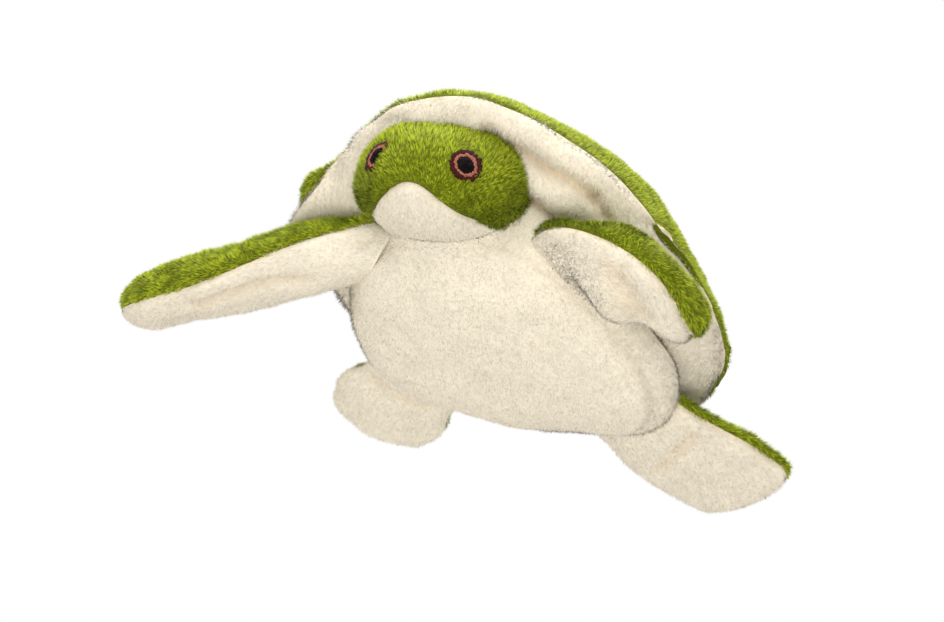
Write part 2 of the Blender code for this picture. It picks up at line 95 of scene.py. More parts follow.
def above_parting(share, turn):
    """Height over the curve between muzzle and cap."""
    reach = head_reach(share, turn)
    forward, up = np.cos(turn) * reach, np.sin(turn) * reach
    arch = np.minimum(1, np.abs(share) / arch_share)
    drop = muzzle_arch * (1 - np.cos(math.pi * arch)) / 2
    drop = drop - 0.0022 * ease((share - 0.70) / 0.22) + 0.001 * ease((-share - 0.4) / 0.2)
    return up - (forward - muzzle_reach) * math.tan(muzzle_fall) - muzzle_top + drop


def parting_turns(shares):
    """Where round the head the muzzle begins and ends, one row for every share."""
    turns = np.linspace(-math.pi, math.pi, 1441)
    ends = []
    for row in above_parting(shares[:, None], turns[None, :]):
        under = np.where(row < 0)[0]
        if len(under) == 0:
            under = [int(np.argmin(row))]
        ends.append((turns[under[0]], turns[under[-1]]))
    return np.array(ends)[:, :1], np.array(ends)[:, 1:]


def ripple(points, size, seed):
    """Seeded smooth unevenness, mostly from -1 to 1, with bumps about size across."""
    dice = np.random.default_rng(seed)
    total = np.zeros(points.shape[:-1])
    for _ in range(16):
        way = dice.normal(size=3)
        way *= math.pi * dice.uniform(0.7, 1.4) / (size * np.linalg.norm(way))
        total += np.sin(points @ way + dice.uniform(0, 2 * math.pi))
    return total / 4


def unit(vectors):
    return vectors / np.maximum(np.linalg.norm(vectors, axis=-1, keepdims=True), 1e-9)


def skin_normals(points, wraps, side=1):
    """Outward normals of a grid of points whose rows run along and columns round."""
    along = np.gradient(points, axis=0)
    if wraps:
        across = np.roll(points, -1, 1) - np.roll(points, 1, 1)
    else:
        across = np.gradient(points, axis=1)
    return unit(np.cross(along, across)) * side


def sewn(points, unevenness, inset, depth, reach=0.0016):
    """Draw a head panel in at both its seams and make it uneven; returns points and creases, the
    seams' pull that sets their painted crease shade.
    """
    run = np.cumsum(np.linalg.norm(np.diff(points, axis=1), axis=-1), axis=1)
    run = np.concatenate([np.zeros_like(run[:, :1]), run], 1)
    pull = np.maximum(np.exp(-(run / reach) ** 2), np.exp(-((run[:, -1:] - run) / reach) ** 2))
    lift = unevenness * (1 - pull) - depth * pull - inset
    return points + skin_normals(points, False) * lift[..., None], pull


def from_arrays(name, points, faces, uv, material):
    """A mesh object from arrays, smooth, with its bake layout."""
    mesh = bpy.data.meshes.new(name)
    mesh.from_pydata(points.tolist(), [], faces)
    mesh.uv_layers.new(name="OFBake")
    mesh.uv_layers["OFBake"].data.foreach_set("uv", uv.astype(np.float32).ravel())
    mesh.materials.append(material)
    mesh.shade_smooth()
    made = bpy.data.objects.new(name, mesh)
    bpy.context.collection.objects.link(made)
    return made


def panel(name, points, wraps, crease, material, side=1, thickness=0.0015):
    """A cloth panel through the points, thickened inwards, its creases kept as an attribute for the
    painted crease shade.
    """
    rows, columns = points.shape[:2]
    index = np.arange(rows * columns).reshape(rows, columns)
    left = index if wraps else index[:, :-1]
    right = np.roll(index, -1, 1) if wraps else index[:, 1:]
    corners = [left[:-1], left[1:], right[1:], right[:-1]]
    u = np.arange(left.shape[1]) / left.shape[1]
    v = np.arange(rows - 1)[:, None] / (rows - 1)
    step_u, step_v = 1 / left.shape[1], 1 / (rows - 1)
    places = [(u, v), (u, v + step_v), (u + step_u, v + step_v), (u + step_u, v)]
    if side < 0:
        corners.reverse()
        places.reverse()
    faces = np.stack(corners, -1).reshape(-1, 4)
    uv = np.stack([np.stack(np.broadcast_arrays(*place), -1) for place in places], 2)
    made = from_arrays(name, points.reshape(-1, 3), faces.tolist(), uv, material)
    attribute = made.data.attributes.new("crease", "FLOAT", "POINT")
    attribute.data.foreach_set("value", np.clip(crease, 0, 1).astype(np.float32).ravel())
    wall = made.modifiers.new("cloth", "SOLIDIFY")
    wall.thickness = thickness
    wall.offset = -1
    bpy.context.view_layer.objects.active = made
    bpy.ops.object.modifier_apply(modifier=wall.name)
    made.data.set_sharp_from_angle(angle=math.radians(75))
    return made


swirl_size, wave_size, tuft_size = 0.006, 0.004, 0.0011


def pile(name, points, wraps, crease, seed, density, flow, side, keep, plush, long, fleck):
    """Short fibres over a panel: fine three-sided points that lean with the flow, in clumps.
    U of their bake layout is the fibre's tone or, past 0.62, its depth in a crease, which
    sets its painted crease shade; V runs from root to tip."""
    dice = np.random.default_rng(seed)
    normals = skin_normals(points, wraps, side)
    layers = [points, normals, np.broadcast_to(flow, points.shape),
              np.clip(crease, 0, 1)[..., None]]
    if wraps:
        layers = [np.concatenate([layer, layer[:, :1]], 1) for layer in layers]
    grid = np.concatenate(layers, -1)
    place = grid[..., :3]
    area = np.linalg.norm(np.cross(place[1:, :-1] - place[:-1, :-1],
                                   place[:-1, 1:] - place[:-1, :-1]), axis=-1)
    chance = area / area.sum()
    count = int(density * area.sum())
    cell = dice.choice(area.size, count, p=chance.ravel())
    row, column = np.unravel_index(cell, area.shape)
    a, b = dice.random((count, 1)), dice.random((count, 1))
    mixed = (grid[row, column] * (1 - a) * (1 - b) + grid[row + 1, column] * a * (1 - b)
             + grid[row, column + 1] * (1 - a) * b + grid[row + 1, column + 1] * a * b)
    if keep is not None:
        mixed = mixed[keep(mixed[:, :3])]
        count = len(mixed)
    root, normal, way, deep = mixed[:, :3], unit(mixed[:, 3:6]), mixed[:, 6:9], mixed[:, 9]
    curl = plush["curl"]
    swirl = np.stack([ripple(root, swirl_size, seed + k) for k in (1, 2, 3)], -1)
    way = unit(way) + curl * swirl + plush["tangle"] * dice.normal(size=(count, 3))
    way = unit(way - normal * np.sum(way * normal, -1, keepdims=True))
    lean = plush["lean"] + 0.33 * curl * ripple(root, wave_size, seed + 4)[:, None]
    lean = lean + 0.2 * dice.normal(size=(count, 1))
    size = plush["length"] * long * dice.uniform(0.75, 1.15, (count, 1))
    along = normal * np.cos(lean) + way * np.sin(lean)
    across = unit(np.cross(way, normal)) * plush["width"] / 2
    low = root - normal * 0.0003
    corners = np.stack([low + across, low - across, low + 0.45 * np.cross(across, along),
                        root + along * size], 1)
    base = np.arange(count)[:, None] * 4
    faces = np.concatenate([base + [0, 1, 3], base + [1, 2, 3], base + [2, 0, 3]], 1)
    tuft = 0.45 - 0.7 * ripple(root, tuft_size, seed + 5) - 0.3 * dice.normal(size=count)
    tuft = np.clip(1 - fleck * tuft, 0, 1)
    tone = np.where(dice.random(count) < deep, 0.64 + 0.34 * deep, 0.58 * tuft)
    uv = np.stack(np.broadcast_arrays(tone[:, None], np.array([0, 0, 1] * 3)), -1)
    made = from_arrays(name, corners.reshape(-1, 3), faces.reshape(-1, 3).tolist(),
                       uv.reshape(-1, 2), plush["fibres"])
    facing = unit(normal + plush["soft"] * dice.normal(size=(count, 3)))
    made.data.normals_split_custom_set_from_vertices(np.repeat(facing, 4, 0).tolist())
    return made


def dress(name, plush, points, wraps, crease, seed, body, nodes, flow, density, side=1,
          keep=None, blend=None, coats=1, long=1.0, fleck=None):
    """One sewn panel and its pile, riding on a body or, when a blend is given, left unattached
    where they stand.
    """
    pieces = [panel(name, points, wraps, crease, plush["cloth"], side)]
    fleck = plush["fleck"] if fleck is None else fleck
    strips = np.linspace(0, points.shape[0] - 1, coats + 1).astype(int)
    flow = np.broadcast_to(flow, points.shape)
    for k in range(coats):
        rows = slice(strips[k], strips[k + 1] + 1)
        coat = pile(name + "_pile" + ("_%d" % (k + 1) if coats > 1 else ""), points[rows], wraps,
                    crease[rows], seed + k, density, flow[rows], side, keep, plush, long, fleck)
        coat.visible_shadow = plush["shadows"]
        pieces.append(coat)
    for piece in pieces:
        if blend is None:
            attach(piece, body)
        else:
            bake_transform(piece)
    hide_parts(*nodes)


def link(tree, start, end):
    tree.links.new(start, end)


def mix_colour(tree, blend, factor, a, b):
    """A colour mix whose factor and colours are values or sockets."""
    node = tree.nodes.new("ShaderNodeMix")
    node.data_type = "RGBA"
    node.blend_type = blend
    for socket, given in ((node.inputs[0], factor), (node.inputs[6], a), (node.inputs[7], b)):
        if isinstance(given, bpy.types.NodeSocket):
            link(tree, given, socket)
        else:
            socket.default_value = given
    return node.outputs[2]


def noise(tree, scale, detail=2):
    """Noise in the object's own coordinates."""
    where = tree.nodes.new("ShaderNodeTexCoord")
    node = tree.nodes.new("ShaderNodeTexNoise")
    node.inputs["Scale"].default_value = scale
    node.inputs["Detail"].default_value = detail
    link(tree, where.outputs["Object"], node.inputs["Vector"])
    return node.outputs["Fac"]


def steps(tree, source, *stops):
    """A ramp over a factor; each stop is its place and then a grey or a colour."""
    ramp = tree.nodes.new("ShaderNodeValToRGB")
    elements = ramp.color_ramp.elements
    while len(elements) < len(stops):
        elements.new(0.5)
    for element, (place, *tone) in zip(elements, stops):
        element.position = place
        element.color = (*(tone if len(tone) == 3 else tone * 3), 1)
    link(tree, source, ramp.inputs[0])
    return ramp.outputs[0]


def fibre_colour_group():
    """The colour along a fibre: from its root to its tip, a little different from fibre to
    fibre, and darker and warmer down in the creases as painted shade."""
    tree = bpy.data.node_groups.new("fibre_colour", "ShaderNodeTree")
    for socket in ("Root", "Tip", "Shade", "Crease_Shade"):
        tree.interface.new_socket(socket, in_out="INPUT", socket_type="NodeSocketColor")
    tree.interface.new_socket("Color", in_out="OUTPUT", socket_type="NodeSocketColor")
    given = tree.nodes.new("NodeGroupInput").outputs
    layout = tree.nodes.new("ShaderNodeUVMap")
    layout.uv_map = "OFBake"
    parts = tree.nodes.new("ShaderNodeSeparateXYZ")
    link(tree, layout.outputs[0], parts.inputs[0])
    # Painted light: fibres are darker at the root, the shade deep in the pile, and lighter at the
    # tip, their glint.
    along = steps(tree, parts.outputs[1], (0, 0), (0.35, 0.3), (1, 1))
    colour = mix_colour(tree, "MIX", along, given["Root"], given["Tip"])
    tone = steps(tree, parts.outputs[0], (0, 0), (0.58, 1))
    shade = mix_colour(tree, "MIX", tone, given["Shade"], (1, 1, 1, 1))
    colour = mix_colour(tree, "MULTIPLY", 1.0, colour, shade)
    # Painted shade: past 0.62 of U, fibres in a crease take on the crease colour.
    deep = steps(tree, parts.outputs[0], (0.62, 0), (1, 1))
    warm = mix_colour(tree, "MIX", deep, (1, 1, 1, 1), given["Crease_Shade"])
    colour = mix_colour(tree, "MULTIPLY", 1.0, colour, warm)
    link(tree, colour, tree.nodes.new("NodeGroupOutput").inputs[0])
    return tree


fibre_colour = fibre_colour_group()


def finish(name, roughness, specular, sheen, sheen_roughness):
    """A new material and its shader, with the values that are the same all over."""
    made = bpy.data.materials.new(name)
    made.use_nodes = True
    shader = made.node_tree.nodes["Principled BSDF"]
    shader.inputs["Roughness"].default_value = roughness
    shader.inputs["Specular IOR Level"].default_value = specular
    shader.inputs["Sheen Weight"].default_value = sheen
    shader.inputs["Sheen Roughness"].default_value = sheen_roughness
    return made, shader


def fibres(name, root, tip, shade, crease, sheen):
    made, shader = finish(name, 0.62, 0.12, sheen, 0.5)
    tree = made.node_tree
    group = tree.nodes.new("ShaderNodeGroup")
    group.node_tree = fibre_colour
    for socket, colour in (("Root", root), ("Tip", tip), ("Shade", shade), ("Crease_Shade", crease)):
        group.inputs[socket].default_value = (*colour, 1)
    link(tree, group.outputs[0], shader.inputs["Base Color"])
    return made


def backing(name, deep, light, crease, sheen):
    """The cloth under the fibres: their roots, mottled, darker and warmer in the creases as painted
    shade.
    """
    made, shader = finish(name, 0.9, 0.15, sheen, 0.6)
    tree = made.node_tree
    fine = steps(tree, noise(tree, 1100, 3), (0.3, 0), (0.7, 1))
    colour = mix_colour(tree, "MIX", fine, (*deep, 1), (*light, 1))
    broad = steps(tree, noise(tree, 60), (0.3, 0.9), (0.7, 1))
    colour = mix_colour(tree, "MULTIPLY", 1.0, colour, broad)
    # Painted shade: the crease attribute tints the cloth darker and warmer.
    attribute = tree.nodes.new("ShaderNodeAttribute")
    attribute.attribute_name = "crease"
    warm = mix_colour(tree, "MIX", attribute.outputs["Fac"], (1, 1, 1, 1), (*crease, 1))
    link(tree, mix_colour(tree, "MULTIPLY", 1.0, colour, warm), shader.inputs["Base Color"])
    bump = tree.nodes.new("ShaderNodeBump")
    bump.inputs["Strength"].default_value = 0.5
    bump.inputs["Distance"].default_value = 0.0006
    link(tree, noise(tree, 1500, 3), bump.inputs["Height"])
    link(tree, bump.outputs[0], shader.inputs["Normal"])
    return made


# Cream fibres let light through on the real toy, so here they cast no shadows.
# The crease colours are painted shade, laid into creases and along seams.
green_plush = {
    "slot": "green_plush",
    # The green roots and backing are dark as painted shade deep in the pile; the green tips are
    # light as a painted glint.
    "cloth": backing("green_plush_backing", (0.10, 0.13, 0.002), (0.19, 0.23, 0.004),
                     (0.6, 0.55, 0.45), 0.02),
    "fibres": fibres("green_plush_fibres", (0.15, 0.20, 0.001), (0.77, 0.89, 0.040),
                     (0.28, 0.32, 0.10), (0.62, 0.56, 0.45), 0.03),
    "length": 0.0021, "width": 0.00036, "lean": 0.85, "tangle": 0.35, "soft": 0.45,
    "curl": 0.55, "fleck": 1.0, "shadows": True}
cream_plush = {
    "slot": "cream_plush",
    "cloth": backing("cream_plush_backing", (0.90, 0.82, 0.66), (0.93, 0.86, 0.71),
                     (0.97, 0.86, 0.72), 0.05),
    "fibres": fibres("cream_plush_fibres", (0.92, 0.84, 0.69), (0.94, 0.88, 0.745),
                     (0.86, 0.82, 0.75), (0.98, 0.90, 0.79), 0.05),
    "length": 0.0017, "width": 0.00030, "lean": 1.0, "tangle": 0.4, "soft": 0.25,
    "curl": 0.15, "fleck": 0.5, "shadows": False}

eye_places, eye_height = {"left": 0.0175, "right": -0.0165}, 0.0086


def eye_clear(places):
    """Fibres keep off the embroidered eyes, but for the brow's over the right eye."""
    offset = places - neck
    beside = offset @ head_side
    apart = np.where(beside > 0, beside - eye_places["left"], -beside + eye_places["right"])
    gap = np.hypot(apart * 1.2, offset @ head_up - eye_height)
    brow = (beside < 0) & (beside > -0.0160)
    return (gap > 0.0060) | brow | (offset @ head_forward < 0)


shares = -np.cos(np.linspace(0.004, math.pi - 0.004, 131))
low_turn, high_turn = parting_turns(shares)
cap_turns = high_turn + (low_turn + 2 * math.pi - high_turn) * np.linspace(0, 1, 150)[None, :]
cap_points = head_point(np.broadcast_to(shares[:, None], cap_turns.shape),
                        (cap_turns + math.pi) % (2 * math.pi) - math.pi)
# The seams' pull becomes the painted crease shade of the cap and the muzzle.
cap_points, cap_crease_shade = sewn(cap_points, 0.0005 * ripple(cap_points, 0.016, 11),
                              inset=-0.0002, depth=0.0010)
dress("head_cap_plush", green_plush, cap_points, False, 0.6 * cap_crease_shade, 21, "head",
      ("head_cap", "head_stuffing"), np.gradient(cap_points, axis=1), 4.0e6, keep=eye_clear)

muzzle_rows = (high_turn > low_turn)[:, 0]
muzzle_turns = (low_turn + (high_turn - low_turn) * np.linspace(0, 1, 90)[None, :])[muzzle_rows]
muzzle_share = np.broadcast_to(shares[muzzle_rows][:, None], muzzle_turns.shape)
muzzle_points = head_point(muzzle_share, muzzle_turns)
muzzle_points, muzzle_crease_shade = sewn(muzzle_points, 0.0004 * ripple(muzzle_points, 0.016, 12),
                                    inset=0.0008, depth=0.0006)
dress("muzzle_plush", cream_plush, muzzle_points, False, 0.4 * muzzle_crease_shade, 31, "head",
      ("head_muzzle",), -np.gradient(muzzle_points, axis=1), 4.0e6)


# Eyes: satin stitches through the cap, over a padded round. The pupil's black threads lie side
# by side, those of the salmon and maroon rings run outwards, and every ring ends a little
# unevenly, stitch by stitch.

stitch_spacing, thread_points, thread_sink = 0.0004, 6, 0.0002


def thread(name, colour):
    made = bpy.data.materials.new(name)
    made.use_nodes = True
    tree = made.node_tree
    shader = tree.nodes["Principled BSDF"]
    shader.inputs["Roughness"].default_value = 0.5
    shader.inputs["Specular IOR Level"].default_value = 0.06
    tone = steps(tree, noise(tree, 2400, 2), (0.35, 0.35, 0.3, 0.3), (0.6, 1))
    link(tree, mix_colour(tree, "MULTIPLY", 1.0, (*colour, 1), tone), shader.inputs["Base Color"])
    return made


def on_head(side, up):
    """The head's front at a place given sideways and upwards."""
    share = side / head_half_width
    low, high = np.zeros_like(side), np.full_like(side, 0.05)
    for _ in range(30):
        ahead = (low + high) / 2
        inside = np.hypot(ahead, up) < head_reach(share, np.arctan2(up, ahead))
        low, high = np.where(inside, ahead, low), np.where(inside, high, ahead)
    return (neck + side[..., None] * head_side + low[..., None] * head_forward
            + up[..., None] * head_up)


def eye_piece(name, material, place, inner, outer, height, threads, uneven, seed):
    """One stitched round or ring of an eye, between two radii."""
    dice = np.random.default_rng(seed)
    columns = np.arange(threads * thread_points)
    rounds = np.linspace(0, 2 * math.pi, len(columns), endpoint=False)
    centre = on_head(np.array([place]), np.array([eye_height]))[0]
    beside = on_head(np.array([place + 0.001]), np.array([eye_height]))[0] - centre
    above = on_head(np.array([place]), np.array([eye_height + 0.001]))[0] - centre
    out = unit(np.cross(beside, above))
    out = out if out @ head_forward > 0 else -out
    across = unit(np.cross(head_up, out))
    above = np.cross(out, across)
    ends = outer * (1 + uneven * dice.normal(size=threads))
    starts = inner * (1 + uneven * dice.normal(size=threads)) if inner > 0 else np.zeros(threads)
    index = columns // thread_points
    share = np.linspace(0, 1, 15)[:, None]
    radius = starts[index] + (ends[index] - starts[index]) * share
    ridge = np.abs(np.sin(columns * math.pi / thread_points))
    if inner == 0:
        bulge = np.sqrt(np.clip(1 - share ** 2.5, 0, 1))
        ridge = np.abs(np.sin(radius * np.sin(rounds) * math.pi / stitch_spacing))
    else:
        bulge = np.sqrt(np.clip(1 - np.abs(2 * share - 1) ** 2.5, 0, 1))
    buried = 0.0018 * ease((radius * np.cos(rounds) - 0.0002) / 0.002) if place < 0 else 0
    lift = height * bulge * (0.7 + 0.3 * ridge) - thread_sink - buried
    offset = (across * (radius * np.cos(rounds))[..., None]
              + above * (radius * np.sin(rounds))[..., None])
    points = on_head(place + offset @ head_side, eye_height + offset @ head_up)
    return panel(name, points + out * lift[..., None], True, np.zeros(points.shape[:2]),
                 material, -1, 0.0004)


thread_finishes = {name: thread(name, colour) for name, colour in (
    ("black_thread", (0.006, 0.003, 0.003)), ("salmon_thread", (0.46, 0.17, 0.12)),
    ("maroon_thread", (0.060, 0.012, 0.010)))}
for side_name, seed in (("left", 500), ("right", 600)):
    for k, (part, colour, inner, outer, height, threads, uneven) in enumerate((
            ("ring", "maroon_thread", 0.0042, 0.0064, 0.0012, 60, 0.055),
            ("iris", "salmon_thread", 0.0037, 0.0046, 0.0012, 44, 0.09),
            ("pupil", "black_thread", 0, 0.0039, 0.0015, 50, 0.05))):
        eye = side_name + "_eye_" + part
        stitches = eye_piece(eye + "_stitches", thread_finishes[colour], eye_places[side_name],
                             inner, outer, height, threads, uneven, seed + k)
        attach(stitches, "head")
        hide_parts(eye)


# Shell and body: a green plush dome, a puffy cream underside that rolls in under its edge, the
# cream body side and the cream belly, sewn edge to edge round one core of stuffing. The cloth
# gives way round the head, and the shell's front edge is creased over it.

shell_half_width, shell_front, shell_rear, shell_top = 0.087, 0.095, 0.092, 0.095
edge_height, edge_front_lift, underside_drop, underside_puff = 0.040, 0.022, 0.015, 0.0045
egg_share, dome_fullness, dome_shoulder, squareness = 0.06, 2.4, 0.9, 0.75
seam_depth, skin_inset, resting_gap = 0.0016, 0.0008, 0.0008
lip_height, lip_top, lip_reach = 0.0030, 0.036, 0.005


def torso(angle, stage):
    """A point of the body by its angle round from the head and its stage: 0 to 1 down the
    dome, 1 to 2 in under the shell's edge, 2 to 3 down the body to the middle of the belly."""
    angle, stage = np.broadcast_arrays(angle, stage)
    front = (1 + np.cos(angle)) / 2
    width = shell_half_width * (1 - egg_share * np.cos(angle))
    edge_x = width * np.sin(angle)
    edge_y = -np.where(np.cos(angle) > 0, shell_front, shell_rear) * np.cos(angle)
    edge = np.hypot(edge_x, edge_y)
    edge_z = edge_height + edge_front_lift * front ** 5
    waist = edge * (0.75 - 0.05 * front ** 1.5 - 0.06 * (1 - front) ** 3)
    waist_z = edge_z - underside_drop
    dome = np.clip(stage, 0, 1)
    under = np.clip(stage - 1, 0, 1)
    quarter = np.clip(stage - 2, 0, 1) * math.pi / 2
    slope = np.arctan2(underside_drop, edge - waist)
    puff = underside_puff * np.sin(math.pi * under)
    rise = np.clip(1 - dome ** dome_fullness, 0, 1) ** dome_shoulder
    cosine, sine = np.clip(np.cos(quarter), 0, 1), np.sin(quarter)
    across = np.select([stage <= 1, stage <= 2], [
        edge * dome, edge + (waist - edge) * under + puff * np.sin(slope)],
        waist * cosine ** squareness + 0.0015 * np.sin(2 * quarter))
    height = np.select([stage <= 1, stage <= 2], [
        edge_z + (shell_top - edge_z) * rise,
        edge_z - underside_drop * under - puff * np.cos(slope)],
        waist_z - (waist_z + 0.0005) * sine ** squareness)
    return np.stack([edge_x / edge * across, edge_y / edge * across, np.maximum(height, 0)], -1)


def inside_head(points, spare):
    """How far points lie inside the head's ball, measured from the neck line."""
    offset = points - neck
    share = np.clip(offset @ head_side / (head_half_width + spare), -1, 1)
    forward, up = offset @ head_forward, offset @ head_up
    return head_reach(share, np.arctan2(up, forward)) + spare - np.hypot(forward, up)


def seat_head(points, normals, spare=-0.0006):
    """Dent the torso's cloth back round the head's ball, and let it rise softly up to it."""
    low_down = ease((lip_top - points[..., 2]) / 0.01)
    lip = np.clip(1 + inside_head(points, spare) / lip_reach, 0, 1) * low_down
    moved = points + normals * (lip_height * lip ** 2)[..., None]
    offset = moved - neck
    share = np.clip(offset @ head_side / (head_half_width + spare), -1, 1)
    full = np.clip(1 - np.abs(share) ** head_fullness, 0, 1) ** (1 / head_fullness)
    radius = head_radius * full + spare
    back = np.sqrt(np.maximum(radius ** 2 - offset[..., 2] ** 2, 0)) + offset @ head_level
    inside = (inside_head(moved, spare) > 0) & (np.abs(share) < 1)
    return moved - head_level * np.where(inside, np.maximum(back, 0), 0)[..., None]


def off_head(places):
    return inside_head(places, -0.0005) < 0


def place_bump(angle, stage, centre, wide, middle, deep):
    """A soft bump over the torso about an angle in degrees and a stage."""
    turn = (np.degrees(angle) - centre + 180) % 360 - 180
    return np.exp(-(turn / wide) ** 2 - ((stage - middle) / deep) ** 2)


def near_line(points, path, reach):
    """1 on a bent line, falling softly to 0 beyond reach."""
    nearest = np.full(points.shape[:-1], 1.0)
    for start, end in zip(path, path[1:]):
        start, run = np.array(start), np.array(end) - np.array(start)
        share = np.clip(((points - start) @ run) / (run @ run), 0, 1)
        gap = np.linalg.norm(points - start - share[..., None] * run, axis=-1)
        nearest = np.minimum(nearest, gap)
    return np.exp(-(nearest / reach) ** 2)


# The seam between the cover and the underside wanders: by angle, its stage past the edge.
seam_turns = (-180, -130, -112, -85, -66, -61, -56, -50, -46, -35, -22, 2, 9, 22, 34, 43, 50, 57,
              62, 68, 78, 90, 110, 130, 180)
seam_drops = (0.02, 0.02, -0.03, -0.03, 0.00, 0.03, 0.09, 0.08, -0.02, -0.03, -0.01, 0.00, -0.01,
              -0.02, -0.04, -0.05, -0.05, -0.03, -0.01, 0.02, 0.08, 0.10, 0.09, 0.08, 0.02)
round_angles = np.linspace(0, 2 * math.pi, 400, endpoint=False)[None, :]
shell_seam = 1 + np.interp((np.degrees(round_angles) + 180) % 360 - 180, seam_turns, seam_drops)
shell_seam = sum(np.roll(shell_seam, k, 1) for k in range(-3, 4)) / 7
spread = [1.0004 - (1 - np.linspace(0, 1, 110)[:, None]) ** 1.3, np.linspace(0, 1, 49)[1:, None],
          np.linspace(0, 1, 20)[1:, None], np.linspace(0, 1, 80)[1:, None]]
stages = np.concatenate([spread[0] * shell_seam, shell_seam + spread[1] * (2 - shell_seam),
                         2 + 0.3 * spread[2] + 0 * shell_seam,
                         2.3 + 0.6999 * spread[3] + 0 * shell_seam])
seam_rows = np.cumsum([len(part) for part in spread]) - 1
body_points = torso(round_angles, stages)
for _ in range(6):
    rounded = (np.roll(body_points, 1, 0) + np.roll(body_points, -1, 0)) / 2
    near_edge = np.exp(-((stages - 1) / 0.05) ** 2)[..., None]
    near_edge[[0, -1]] = 0
    body_points = body_points + near_edge * (rounded - body_points)

# The three seams draw the cloth in, each by its own share.
run = np.cumsum(np.linalg.norm(np.diff(body_points, axis=0, prepend=body_points[:1]), axis=-1), 0)
body_pull = np.zeros(body_points.shape[:-1])
for row, depth in zip(seam_rows, (0.6, 0.9, 0.2)):
    body_pull = np.maximum(body_pull, depth * np.exp(-((run - run[row]) / 0.0020) ** 2))
under_share = np.clip(stages - 1, 0, 1) * np.clip(3 * (2.2 - stages), 0, 1)
rim_share = np.exp(-((stages - 1.05) / 0.12) ** 2)
body_uneven = (0.0007 * ripple(body_points, 0.030, 41) + 0.0003 * ripple(body_points, 0.010, 42)
               + 0.0011 * under_share * ripple(body_points, 0.018, 43)
               + 0.0010 * rim_share * ripple(body_points, 0.013, 44))

# Fuller and slacker places: height, angle and its width in degrees, stage and its width.
for size, centre, wide, middle, deep in (
        (0.0105, 116, 32, 2.18, 0.30), (0.0082, -61, 12, 1.14, 0.30), (-0.0012, -45, 4, 1.1, 0.3),
        (-0.0024, -37, 12, 0.95, 0.2), (0.0020, 33, 14, 1.2, 0.14), (0.0022, 31, 14, 1.75, 0.14),
        (-0.0060, 80, 27, 1.02, 0.20), (-0.0018, 28, 20, 0.94, 0.18), (-0.0012, 67, 3, 1.05, 0.12),
        (-0.0082, -98, 18, 1.30, 0.45), (-0.0078, -150, 26, 2.32, 0.30),
        (-0.0020, 124, 10, 1.10, 0.20), (-0.0034, 165, 22, 2.4, 0.28), (0.0016, -68, 8, 1.2, 0.3),
        (0.0032, -4, 26, 1.32, 0.24)):
    body_uneven = body_uneven + size * place_bump(round_angles, stages, centre, wide, middle, deep)

# A crease runs from over the head's left side back into the shell's underside, shallower at
# its end.
shell_folds = (((0.0150, -0.0840, 0.0520), (0.0213, -0.0807, 0.0490), (0.0363, -0.0723, 0.0443),
                (0.0472, -0.0667, 0.0423), (0.0537, -0.0612, 0.0405)),
               ((0.0537, -0.0612, 0.0405), (0.0576, -0.0529, 0.0367)))
# Painted shade along the seams, and through the loop below along the crease line.
body_crease_shade = 0.6 * body_pull
for path, reach, depth in zip(shell_folds, (0.0032, 0.0024), (0.0042, 0.0022)):
    near = near_line(body_points, path, reach)
    body_uneven = body_uneven - depth * near
    body_crease_shade = np.maximum(body_crease_shade, 0.9 * near)
push = skin_normals(body_points, True)
for _ in range(10):
    before, after = np.concatenate([push[:1], push[:-1]]), np.concatenate([push[1:], push[-1:]])
    push = unit(push + before + after)
body_points = body_points + push * (
    body_uneven * (1 - body_pull) - seam_depth * body_pull - skin_inset)[..., None]
body_points = seat_head(body_points, skin_normals(body_points, True))
body_points[..., 2] = np.maximum(body_points[..., 2], resting_gap)

# The pile lies towards the tail on the cover and the belly, down the body's side between them,
# and in towards the head beside it.
body_flow = unit(np.gradient(body_points, axis=0))
body_flow[:seam_rows[0] + 1] = np.array([0.05, 1.0, 0.0])
body_flow[seam_rows[2]:] = np.array([0.1, 1.0, 0.0])
from_neck = body_points - neck
from_neck = unit(from_neck - (from_neck @ head_side)[..., None] * head_side)
by_head = np.exp(-(np.minimum(inside_head(body_points, 0.0), 0) / 0.005) ** 2)[..., None]
body_flow = body_flow * (1 - by_head) - from_neck * by_head
for part, name, plush, nodes, seed, coats, long, fleck in (
        (0, "shell_cover_plush", green_plush, ("carapace_cover", "body_stuffing"), 41, 2, 1.0, 1.0),
        (1, "shell_underside_plush", cream_plush, ("carapace_underside",), 51, 1, 1.5, 1.0),
        (2, "body_side_plush", cream_plush, ("body_side_panel",), 61, 1, 1.2, 0.5),
        (3, "belly_plush", cream_plush, ("belly_panel",), 71, 1, 0.9, 0.5)):
    rows = slice(seam_rows[part - 1] if part else 0, seam_rows[part] + 1)
    flow = body_flow[rows].copy()
    flow[0] = flow[1]
    dress(name, plush, body_points[rows], True, body_crease_shade[rows], seed, "torso", nodes, flow,
          2.8e6, keep=off_head, coats=coats, long=long, fleck=fleck)
